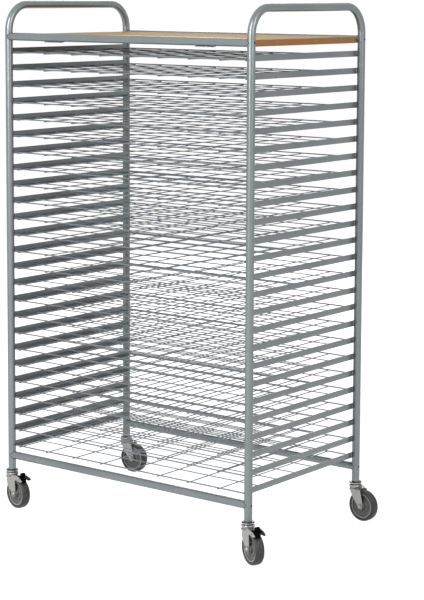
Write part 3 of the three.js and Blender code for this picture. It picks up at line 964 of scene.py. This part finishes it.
def race_mesh():
    """Ball race under the leg, the plug in the tube and the king pin."""
    race = settings().caster.race
    return turned_mesh("caster race", [
        (0.0012, 0.0975), (0.0075, 0.0975), (0.008, 0.1005), (0.005, 0.1008), (0.005, 0.1168),
        (race - 0.0035, 0.1168), (race - 0.0035, 0.1180), (race - 0.0008, 0.1184), (race, 0.1200),
        (race - 0.0004, 0.1228), (race - 0.0020, 0.1246), (0.0135, 0.1249), (0.0106, 0.1249),
        (0.0106, 0.160), (0.0012, 0.160),
    ], TURNED_EASE, "race")


def edge_at(points, z):
    """Distance at a height on an edge given from the top down."""
    for (high, a), (low, b) in zip(points, points[1:]):
        if z >= low:
            break
    return a + (b - a) * (high - z) / (high - low)


def leg_edges(z, brake):
    """Front and back of a fork leg at a height, down to the round of the axle eye."""
    sizes = settings().caster
    if z >= sizes.wheel:
        return edge_at(LEG_FRONT[brake], z), edge_at(LEG_BACK[brake], z)
    bulge = math.sqrt(max(sizes.eye ** 2 - (z - sizes.wheel) ** 2, 0.0))
    return sizes.trail - bulge, sizes.trail + bulge


def leg_ring(z, side, brake):
    """Section of a pressed leg: flat outside, with its front edge turned in towards the wheel."""
    sizes = settings().caster
    fore, aft = leg_edges(z, brake)
    outside, sheet, wide = sizes.fork_half, sizes.plate, aft - fore
    low, high = LIP_HEIGHTS
    lip = sheet * LIP_FOOT + LIP_GAIN * min(max((z - low) / (high - low), 0.0), 1.0)
    bend = min(lip * LIP_BEND_SHARE, LIP_BEND, wide * CORNER_SHARE)
    tight = max(bend - sheet, PRESSED_EDGE)
    ring = [(fore, outside - lip)]
    inner = [(fore + min(sheet, wide * LIP_SHEET_SHARE), outside - lip)]
    for i in range(LIP_STEPS + 1):
        turn = math.pi / 2 * i / LIP_STEPS
        for points, radius in ((ring, bend), (inner, tight)):
            points.append((fore + bend - radius * math.cos(turn), outside - bend + radius * math.sin(turn)))
    ring.append((aft, outside))
    inner.append((aft, outside - sheet))
    return [Vector((x, side * y, z)) for x, y in ring + inner[::-1]]


def lug_ring(y, radius, grow, rooted):
    """Ring of the lug or of its hole, moved out by grow; a rooted one runs forward to the crown."""
    ring = []
    for i in range(SIDES["lug"]):
        turn = FULL_TURN * i / SIDES["lug"]
        back, rise = math.cos(turn), math.sin(turn)
        reach = radius
        if rooted and back < 0:
            reach = min(radius / max(abs(rise), TINY), LUG_ROOT / -back)
        reach += grow
        ring.append(Vector((LUG_CENTRE[0] + reach * back, y, LUG_CENTRE[1] + reach * rise)))
    return ring


def lug(bm):
    """Pierced lug with a round end, from the crown out over the wheel in the wheel's plane."""
    sizes = settings().caster
    half = sizes.plate / 2
    depths = [(half, LUG_EDGE), (half - LUG_EDGE, 0), (LUG_EDGE - half, 0), (-half, LUG_EDGE)]
    outside = [lug_ring(y, sizes.lug, -edge, True) for y, edge in depths]
    hole = [lug_ring(y, sizes.lug_hole, edge, False) for y, edge in reversed(depths)]
    loft(bm, outside + hole, closed=True)


def fork_mesh(brake):
    """Pressed fork: crown, saddle and two legs; braked ones have arms, plain ones a lug."""
    sizes = settings().caster
    half, sheet, crown = sizes.fork_half, sizes.plate, sizes.race
    bm = bmesh.new()
    straight = [LEG_TOP - (LEG_TOP - sizes.wheel) * i / LEG_STEPS for i in range(LEG_STEPS + 1)]
    rounded = [sizes.wheel - sizes.eye * math.sin(math.pi / 2 * i / EYE_STEPS) for i in range(1, EYE_STEPS)]
    for side in (-1, 1):
        loft(bm, [leg_ring(z, side, brake) for z in straight + rounded])
    skin = half + SADDLE_SKIN
    saddle = eased([(-skin, SADDLE_FOOT), (-skin, FORK_TOP), (skin, FORK_TOP), (skin, SADDLE_FOOT)],
                   [0, SADDLE_CORNER, SADDLE_CORNER, 0], 6)
    under = [Vector((p.x * (1 - sheet / half), max(p.y - sheet, SADDLE_FOOT))) for p in saddle]
    loft(bm, [[Vector((x, p.x, p.y)) for p in saddle + under[::-1]] for x in SADDLE_REACH])
    turned(bm, smooth_profile([
        (0.0052, 0.1015), (0.0165, 0.1015), (0.0178, 0.1045), (crown - 0.0010, 0.1078), (crown, 0.1092),
        (crown, 0.1136), (crown - 0.0014, 0.1154), (0.0172, 0.1158), (0.0052, 0.1158),
    ], TURNED_EASE), SIDES["race"], closed=True)
    if brake:
        for base in (half + ARM_GAP, sheet - half - ARM_GAP):
            flat = Matrix.Translation((0, base, 0)) @ Matrix.Rotation(math.pi / 2, 4, "X")
            plate(bm, flat, eased(ARM_OUTLINE, ARM_CORNER), sheet, PRESSED_EDGE)
    else:
        lug(bm)
    return to_mesh("caster fork", bm)


def axle_mesh():
    """Axle bolt: hexagon head with a washer on one side, washer and lock nut on the other."""
    sizes = settings().caster
    face = sizes.fork_half + AXLE_GAP
    end, thin = face + AXLE_END, sizes.axle - AXLE_CHAMFER
    matrix = axle_matrix()
    bm = bmesh.new()
    turned(bm, [(thin, -face), (sizes.axle, -face), (sizes.axle, end - AXLE_CHAMFER), (thin, end)],
           SIDES["axle"], matrix)
    for side in (-1, 1):
        for profile, kind in ((WASHER, "washer"), (NUT, "nut")):
            turned(bm, [(radius, side * (face + out)) for radius, out in profile], SIDES[kind], matrix)
    return to_mesh("axle bolt", bm)


def core_mesh():
    """Moulded wheel body: hub boss, dished web and rim with a raised lip."""
    sizes = settings().caster
    rim, hub, half = sizes.rim, sizes.hub, sizes.hub_half
    side = [(sizes.axle + 0.0003, half), (hub - 0.0015, half), (hub, half - 0.002), (hub + 0.0012, 0.0065),
            (hub + 0.005, 0.0046), (hub + 0.0085, 0.0046), (hub + 0.0092, 0.0066), (hub + 0.0112, 0.0066),
            (hub + 0.0120, 0.0042), (rim - 0.0075, 0.0044), (rim - 0.0050, 0.0066), (rim - 0.0038, 0.0116),
            (rim - 0.0010, 0.0120), (rim, 0.0108)]
    return turned_mesh("wheel core", mirrored(side), WHEEL_EASE, "wheel body", axle_matrix())


def tyre_mesh():
    """Tyre with a flat tread, round shoulders and a moulded ring on each wall."""
    sizes = settings().caster
    out, half, seat = sizes.wheel, sizes.tyre, sizes.rim - 0.0001
    side = [(seat, half - 0.0022), (seat + 0.0014, half - 0.0010), (seat + 0.0030, half - 0.0012),
            (seat + 0.0036, half - 0.0002), (out - 0.0046, half), (out - 0.0012, half - 0.0030),
            (out, half - 0.0075)]
    return turned_mesh("tyre", mirrored(side), WHEEL_EASE, "tyre", axle_matrix())


def pedal_mesh():
    """Toe pedal: knob, heel, brake shoe, pivot pin and toe plate with grip ribs."""
    bm = bmesh.new()
    for outline, half, rounding in PEDAL_SLABS:
        flat = Matrix.Translation((0, half, 0)) @ Matrix.Rotation(math.pi / 2, 4, "X")
        plate(bm, flat, eased(outline, rounding), 2 * half, PEDAL_EDGE)
    pivot, reach = Vector((PEDAL_PIVOT[0], 0, PEDAL_PIVOT[1])), Vector((0, PIN_REACH, 0))
    rod(bm, pivot - reach, pivot + reach, settings().caster.plate, SIDES["pin"])
    rings = []
    for back, height, thick, wide in TOE_STATIONS:
        section = [(-wide, -thick), (wide, -thick), (wide, thick), (-wide, thick)]
        rings.append([Vector((back, p.x, height + p.y)) for p in eased(section, thick * TOE_CORNER, 3)])
    loft(bm, rings)
    for back, height, thick, wide in RIBBED_STATIONS:
        spot, reach = Vector((back, 0, height + thick)), Vector((0, wide * RIB_SHARE, 0))
        rod(bm, spot - reach, spot + reach, RIB_RADIUS, SIDES["rib"])
    return to_mesh("toe pedal", bm)


def at_casters(piece, node, body, slot, mesh, material, corners=CORNERS):
    """Puts a piece at each caster, on the frame or on the caster's own body, in the stead of its node."""
    for corner in corners:
        carrier = FRAME_BODY if body == FRAME_BODY else f"{body}_{corner}"
        place(f"{piece}_{corner}", mesh, material, carrier, slot, [f"{node}_{corner}"], caster_matrix(corner))


class RACK_OT_caster_races(bpy.types.Operator):
    """Ball races and plugs in the feet of the posts"""
    bl_idname = "rack.caster_races"
    bl_label = "Caster races"

    def execute(self, context):
        at_casters("race", "caster_stem", FRAME_BODY, "zinc", race_mesh(), race_painted_sheen())
        return {"FINISHED"}


class RACK_OT_caster_forks(bpy.types.Operator):
    """Pressed forks with their axle bolts"""
    bl_idname = "rack.caster_forks"
    bl_label = "Caster forks"

    def execute(self, context):
        for brake in (True, False):
            corners = [corner for corner in CORNERS if (corner in BRAKED) == brake]
            at_casters("fork", "caster_fork", "swivel", "zinc", fork_mesh(brake), zinc_plate(), corners)
        at_casters("axle_bolt", "caster_axle", "swivel", "zinc", axle_mesh(), zinc_plate())
        return {"FINISHED"}


class RACK_OT_wheels(bpy.types.Operator):
    """Wheel bodies and tyres"""
    bl_idname = "rack.wheels"
    bl_label = "Wheels"

    def execute(self, context):
        at_casters("wheel_body", "wheel_core", "wheel", "hub_plastic", core_mesh(), hub_plastic())
        at_casters("rubber", "tyre", "wheel", "tyre_rubber", tyre_mesh(), tyre_rubber())
        return {"FINISHED"}


class RACK_OT_toe_brakes(bpy.types.Operator):
    """Toe brakes of the front casters"""
    bl_idname = "rack.toe_brakes"
    bl_label = "Toe brakes"

    def execute(self, context):
        at_casters("toe_pedal", "brake_pedal", "pedal", "pedal_plastic", pedal_mesh(), pedal_plastic(),
                   BRAKED)
        return {"FINISHED"}


class RACK_OT_fasteners(bpy.types.Operator):
    """Domed rail bolts on the posts and screws up into the wooden top"""
    bl_idname = "rack.fasteners"
    bl_label = "Fasteners"

    def execute(self, context):
        sizes = settings().frame
        xs, ys = post_grid()
        head = sizes.bolt
        dome = [(head * math.cos(turn), head * DOME_RISE * math.sin(turn)) for turn in DOME_TURNS]
        dome += [(head * radius, head * height) for radius, height in SOCKET]
        bm = bmesh.new()
        for level, position in RAILS:
            low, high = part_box(f"{level}_rail_{position}")
            for hand, inward in INWARD.items():
                x = xs[hand] - inward * (sizes.tube - BOLT_SINK)
                spot = Vector((x, ys[position], (low.z + high.z) / 2))
                turned(bm, dome, SIDES["bolt"], along(spot, spot - Vector((inward, 0, 0))))
        place("rail_bolts", to_mesh("rail bolts", bm), race_steel(), FRAME_BODY, "zinc")
        bm = bmesh.new()
        from_end, from_edge = SCREW_INSET
        for corner in CORNERS:
            low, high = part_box(f"panel_tab_{corner}")
            y = high.y - from_edge if "front" in corner else low.y + from_edge
            for x in (low.x + from_end, high.x - from_end):
                spot = Vector((x, y, low.z + SCREW_SINK))
                turned(bm, dome, SIDES["bolt"], along(spot, spot - Vector((0, 0, 1))))
        place("top_screws", to_mesh("top screws", bm), race_steel(), FRAME_BODY, "zinc")
        return {"FINISHED"}


# Stage

def seen_directly(sketch):
    """1 for rays that show the background: from the camera, in reflections and through glass."""
    path = sketch.add("ShaderNodeLightPath").outputs
    indirect = sketch.maths("MAXIMUM", path["Is Glossy Ray"], path["Is Transmission Ray"])
    return sketch.maths("MAXIMUM", path["Is Camera Ray"], indirect)


def floor_material():
    """Pale floor that is white to the camera and in reflections, and keeps the rack's shadow."""
    material = bpy.data.materials.new("pale floor")
    material.use_nodes = True
    sketch = Sketch(material.node_tree)
    shader = material.node_tree.nodes["Principled BSDF"]
    shader.inputs["Base Color"].default_value = rgba(settings().finish.floor)
    shader.inputs["Roughness"].default_value = 0.9
    shader.inputs["Specular IOR Level"].default_value = 0.1
    shader.inputs["Emission Color"].default_value = WHITE
    lift = sketch.maths("MULTIPLY", seen_directly(sketch), settings().stage.floor_lift)
    sketch.tree.links.new(lift, shader.inputs["Emission Strength"])
    return material


def light_world(ambient):
    """Even light, with a white background behind the rack."""
    world = bpy.data.worlds.new("studio")
    bpy.context.scene.world = world
    world.use_nodes = True
    sketch = Sketch(world.node_tree)
    strength = sketch.add("ShaderNodeMix", {0: seen_directly(sketch), 2: ambient, 3: 1.0})
    background = world.node_tree.nodes["Background"]
    background.inputs["Color"].default_value = WHITE
    world.node_tree.links.new(strength.outputs[0], background.inputs["Strength"])


def soft_light(name, location, power):
    """Tall area lamp that faces the middle of the rack."""
    data = bpy.data.lights.new(name, "AREA")
    data.shape = "RECTANGLE"
    data.size, data.size_y = LAMP_SIZE
    data.energy = power
    lamp = bpy.data.objects.new(name, data)
    lamp.matrix_world = along(Vector(LAMP_TARGET), Vector(location)).to_3x3().to_4x4()
    lamp.location = location
    bpy.context.scene.collection.objects.link(lamp)


class RACK_OT_stage(bpy.types.Operator):
    """Floor, studio light and camera"""
    bl_idname = "rack.stage"
    bl_label = "Stage"

    def execute(self, context):
        scene, stage = context.scene, settings().stage
        scene.view_settings.view_transform = "Standard"
        bm = bmesh.new()
        bm.faces.new([bm.verts.new(point) for point in circle(Matrix(), FLOOR_RADIUS, SIDES["floor"])])
        floor = bpy.data.objects.new("floor", to_mesh("floor", bm))
        floor.data.materials.append(floor_material())
        scene.collection.objects.link(floor)
        light_world(stage.ambient)
        for name, spot in LAMP_PLACES.items():
            soft_light(name, spot, getattr(stage, name))
        data = bpy.data.cameras.new("camera")
        data.lens, data.sensor_width, data.shift_y = stage.lens, SENSOR_SIDE, stage.rise
        data.clip_end = VIEW_END
        camera = bpy.data.objects.new("camera", data)
        camera.matrix_world = (Matrix.Translation(stage.eye) @ Matrix.Rotation(stage.heading, 4, "Z")
                               @ Matrix.Rotation(math.pi / 2 - stage.tilt, 4, "X")
                               @ Matrix.Rotation(stage.roll, 4, "Z"))
        scene.collection.objects.link(camera)
        scene.camera = camera
        return {"FINISHED"}


class RACK_PT_panel(bpy.types.Panel):
    """Steps of the drying rack in the order they run"""
    bl_label = "Drying rack"
    bl_idname = "RACK_PT_panel"
    bl_space_type = "VIEW_3D"
    bl_region_type = "UI"
    bl_category = "Drying rack"

    def draw(self, context):
        for step in STEPS:
            self.layout.operator(step.bl_idname)
        for group in ("frame", "shelf", "caster", "finish", "stage"):
            values = getattr(settings(), group)
            box = self.layout.box()
            for key in values.__annotations__:
                box.prop(values, key)


STEPS = (
    RACK_OT_end_frames, RACK_OT_rails, RACK_OT_wooden_top, RACK_OT_wire_shelves, RACK_OT_caster_races,
    RACK_OT_caster_forks, RACK_OT_wheels, RACK_OT_toe_brakes, RACK_OT_fasteners, RACK_OT_stage,
)
GROUPS = (FrameSizes, ShelfSizes, CasterSizes, Finishes, StageSettings, RackSettings)


def register():
    for cls in GROUPS + STEPS + (RACK_PT_panel,):
        bpy.utils.register_class(cls)
    bpy.types.Scene.drying_rack = PointerProperty(type=RackSettings)


def unregister():
    del bpy.types.Scene.drying_rack
    for cls in reversed(GROUPS + STEPS + (RACK_PT_panel,)):
        bpy.utils.unregister_class(cls)


def main():
    register()
    for step in STEPS:
        family, name = step.bl_idname.split(".")
        getattr(getattr(bpy.ops, family), name)()


if __name__ == "__main__":
    main()
